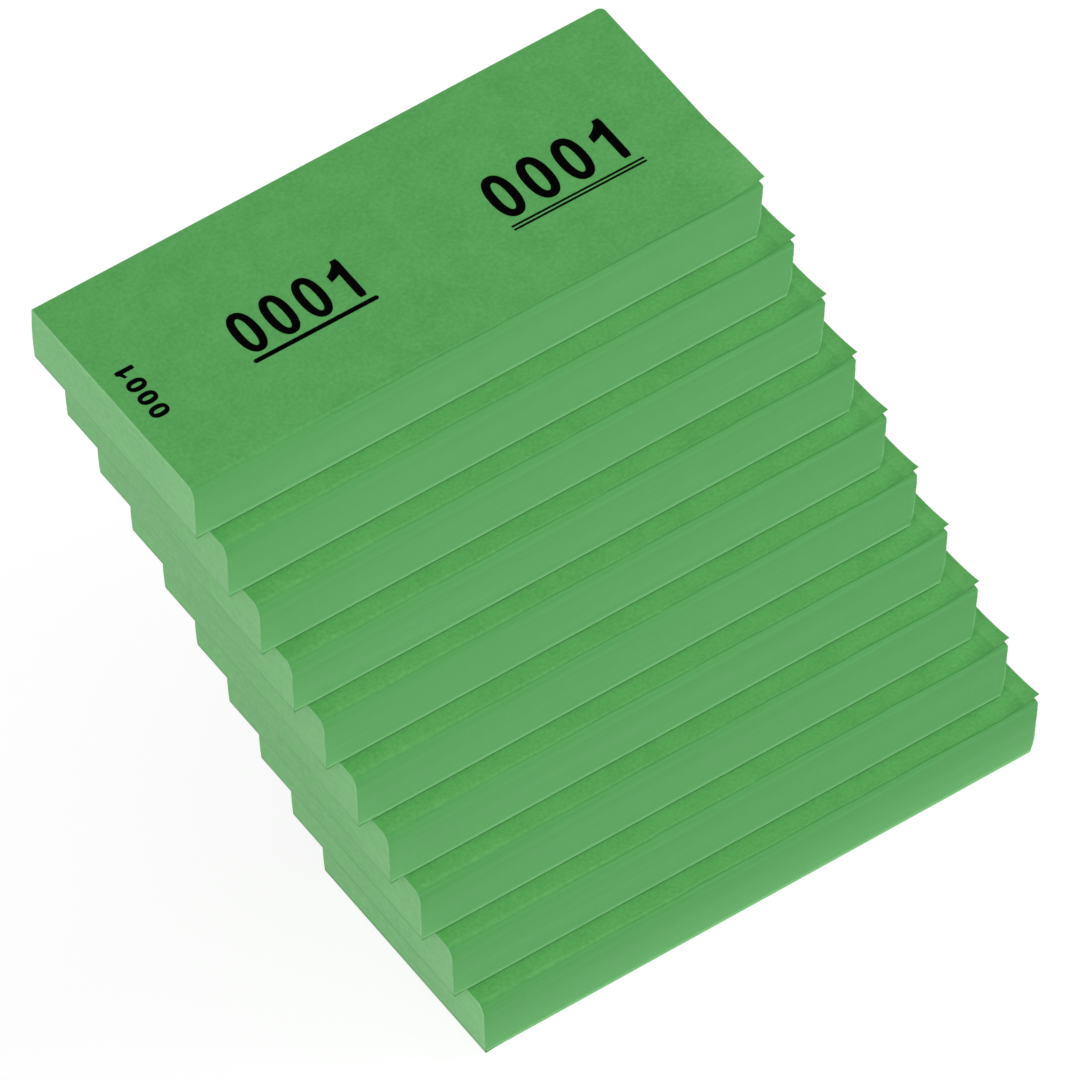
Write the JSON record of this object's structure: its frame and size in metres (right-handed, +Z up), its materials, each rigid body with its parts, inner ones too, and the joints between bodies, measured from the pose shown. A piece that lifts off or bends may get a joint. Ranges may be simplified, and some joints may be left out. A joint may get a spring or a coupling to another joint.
{
  "type": "stack of cloakroom ticket books",
  "caption": "Glued books of perforated, numbered cloakroom tickets in bright green paper, stacked in steps; each book lifts off and the top leaf folds at its perforations.",
  "frame": {"origin": "centre of the bounding box's base, on the surface that the lowest book lies on", "axes": "+X from the glued stub ends to the free ends of the leaves, +Y from the front edges to the back edges, +Z up through the stack"},
  "size_m": [0.1436, 0.094, 0.1277],
  "materials": {
    "leaf_paper": "matte",
    "cut_edges": "matte",
    "back_card": "matte",
    "padding_glue": "satin"
  },
  "bodies": {
    "book_10": {"back_card_10": "back_card", "leaf_pile_10": "cut_edges", "glue_film_10": "padding_glue", "stub_10": "leaf_paper", "inner_ticket_10": "leaf_paper", "outer_ticket_10": "leaf_paper"},
    "book_09": {"back_card_09": "back_card", "leaf_pile_09": "cut_edges", "glue_film_09": "padding_glue", "stub_09": "leaf_paper", "inner_ticket_09": "leaf_paper", "outer_ticket_09": "leaf_paper"},
    "book_08": {"back_card_08": "back_card", "leaf_pile_08": "cut_edges", "glue_film_08": "padding_glue", "stub_08": "leaf_paper", "inner_ticket_08": "leaf_paper", "outer_ticket_08": "leaf_paper"},
    "book_07": {"back_card_07": "back_card", "leaf_pile_07": "cut_edges", "glue_film_07": "padding_glue", "stub_07": "leaf_paper", "inner_ticket_07": "leaf_paper", "outer_ticket_07": "leaf_paper"},
    "book_06": {"back_card_06": "back_card", "leaf_pile_06": "cut_edges", "glue_film_06": "padding_glue", "stub_06": "leaf_paper", "inner_ticket_06": "leaf_paper", "outer_ticket_06": "leaf_paper"},
    "book_05": {"back_card_05": "back_card", "leaf_pile_05": "cut_edges", "glue_film_05": "padding_glue", "stub_05": "leaf_paper", "inner_ticket_05": "leaf_paper", "outer_ticket_05": "leaf_paper"},
    "book_04": {"back_card_04": "back_card", "leaf_pile_04": "cut_edges", "glue_film_04": "padding_glue", "stub_04": "leaf_paper", "inner_ticket_04": "leaf_paper", "outer_ticket_04": "leaf_paper"},
    "book_03": {"back_card_03": "back_card", "leaf_pile_03": "cut_edges", "glue_film_03": "padding_glue", "stub_03": "leaf_paper", "inner_ticket_03": "leaf_paper", "outer_ticket_03": "leaf_paper"},
    "book_02": {"back_card_02": "back_card", "leaf_pile_02": "cut_edges", "glue_film_02": "padding_glue", "stub_02": "leaf_paper", "inner_ticket_02": "leaf_paper", "outer_ticket_02": "leaf_paper"},
    "book_01": {"back_card_01": "back_card", "leaf_pile_01": "cut_edges", "glue_film_01": "padding_glue", "stub_01": "leaf_paper"},
    "inner_ticket": {"inner_ticket_01": "leaf_paper"},
    "outer_ticket": {"outer_ticket_01": "leaf_paper"}
  },
  "joints": [
    {"name": "book_09_lifts_off", "type": "slide", "parent": "book_10", "child": "book_09", "axis": [0, 0, 1], "range_m": [0, 0.03]},
    {"name": "book_08_lifts_off", "type": "slide", "parent": "book_09", "child": "book_08", "axis": [0, 0, 1], "range_m": [0, 0.03]},
    {"name": "book_07_lifts_off", "type": "slide", "parent": "book_08", "child": "book_07", "axis": [0, 0, 1], "range_m": [0, 0.03]},
    {"name": "book_06_lifts_off", "type": "slide", "parent": "book_07", "child": "book_06", "axis": [0, 0, 1], "range_m": [0, 0.03]},
    {"name": "book_05_lifts_off", "type": "slide", "parent": "book_06", "child": "book_05", "axis": [0, 0, 1], "range_m": [0, 0.03]},
    {"name": "book_04_lifts_off", "type": "slide", "parent": "book_05", "child": "book_04", "axis": [0, 0, 1], "range_m": [0, 0.03]},
    {"name": "book_03_lifts_off", "type": "slide", "parent": "book_04", "child": "book_03", "axis": [0, 0, 1], "range_m": [0, 0.03]},
    {"name": "book_02_lifts_off", "type": "slide", "parent": "book_03", "child": "book_02", "axis": [0, 0, 1], "range_m": [0, 0.03]},
    {"name": "book_01_lifts_off", "type": "slide", "parent": "book_02", "child": "book_01", "axis": [0, 0, 1], "range_m": [0, 0.03]},
    {"name": "stub_perforation_fold", "type": "hinge", "parent": "book_01", "child": "inner_ticket", "pos_m": [-0.06174, 0.02205, 0.1265], "axis": [0, -1, 0], "range_deg": [0, 175]},
    {"name": "middle_perforation_fold", "type": "hinge", "parent": "inner_ticket", "child": "outer_ticket", "pos_m": [-0.00759, 0.02205, 0.1265], "axis": [0, -1, 0], "range_deg": [0, 140]}
  ]
}
